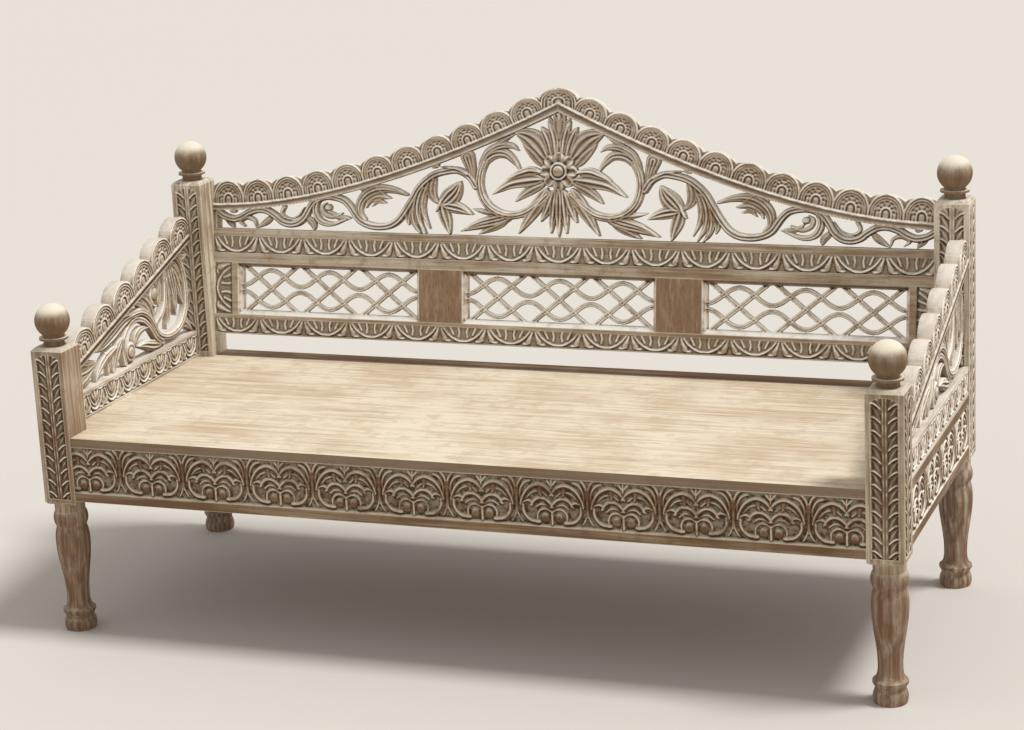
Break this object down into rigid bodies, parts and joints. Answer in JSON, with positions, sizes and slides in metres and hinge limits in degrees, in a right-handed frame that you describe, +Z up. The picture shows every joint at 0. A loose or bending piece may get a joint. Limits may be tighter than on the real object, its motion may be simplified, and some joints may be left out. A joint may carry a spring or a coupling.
{
  "type": "takht daybed",
  "caption": "Carved limed-teak daybed on turned posts, with a planked deck, stepped side panels and a tall latticed, scalloped back.",
  "frame": {"origin": "on the floor, at the middle of the four posts' footprint", "axes": "+X along the bed to the sitter's left (the right end seen from the front), +Y to the back, +Z up"},
  "size_m": [2, 0.8687, 1.1533],
  "materials": {
    "post_wood": "limed teak, carved and turned, worn through to brown on edges",
    "rail_wood": "limed teak, deeply carved, chalky residue in the ground",
    "deck_wood": "limed teak boards, cream with long streaks",
    "panel_wood": "limed teak, carved",
    "fret_wood": "limed teak, pierced and carved",
    "hidden_wood": "plain sawn teak",
    "peg_wood": "plain hardwood",
    "screw_steel": "plain steel"
  },
  "bodies": {
    "root": {"post_front_left": "post_wood", "post_front_right": "post_wood", "post_back_left": "post_wood", "post_back_right": "post_wood", "finial_front_left": "post_wood", "finial_front_right": "post_wood", "finial_back_left": "post_wood", "finial_back_right": "post_wood", "rail_front": "rail_wood", "rail_back": "rail_wood", "rail_left": "rail_wood", "rail_right": "rail_wood", "deck_board_1": "deck_wood", "deck_board_2": "deck_wood", "deck_board_3": "deck_wood", "deck_board_4": "deck_wood", "deck_board_5": "deck_wood", "side_band_left": "panel_wood", "side_band_right": "panel_wood", "side_edge_left": "panel_wood", "side_edge_right": "panel_wood", "back_lower_rail": "panel_wood", "back_upper_rail": "panel_wood", "back_stile_left": "panel_wood", "back_stile_right": "panel_wood", "back_muntin_left": "panel_wood", "back_muntin_right": "panel_wood", "crest_edge_left": "panel_wood", "crest_edge_right": "panel_wood", "side_fret_left": "fret_wood", "side_fret_right": "fret_wood", "crest_fret_left": "fret_wood", "crest_fret_right": "fret_wood", "crest_rosette": "fret_wood", "back_lattice_left": "fret_wood", "back_lattice_middle": "fret_wood", "back_lattice_right": "fret_wood", "bearer_1": "hidden_wood", "bearer_2": "hidden_wood", "bearer_3": "hidden_wood", "bearer_4": "hidden_wood", "bearer_5": "hidden_wood", "ledger_front": "hidden_wood", "ledger_back": "hidden_wood", "tenon_pegs": "peg_wood", "side_dowels": "peg_wood", "back_dowels": "peg_wood", "deck_screws": "screw_steel", "ledger_screws": "screw_steel"}
  },
  "joints": []
}
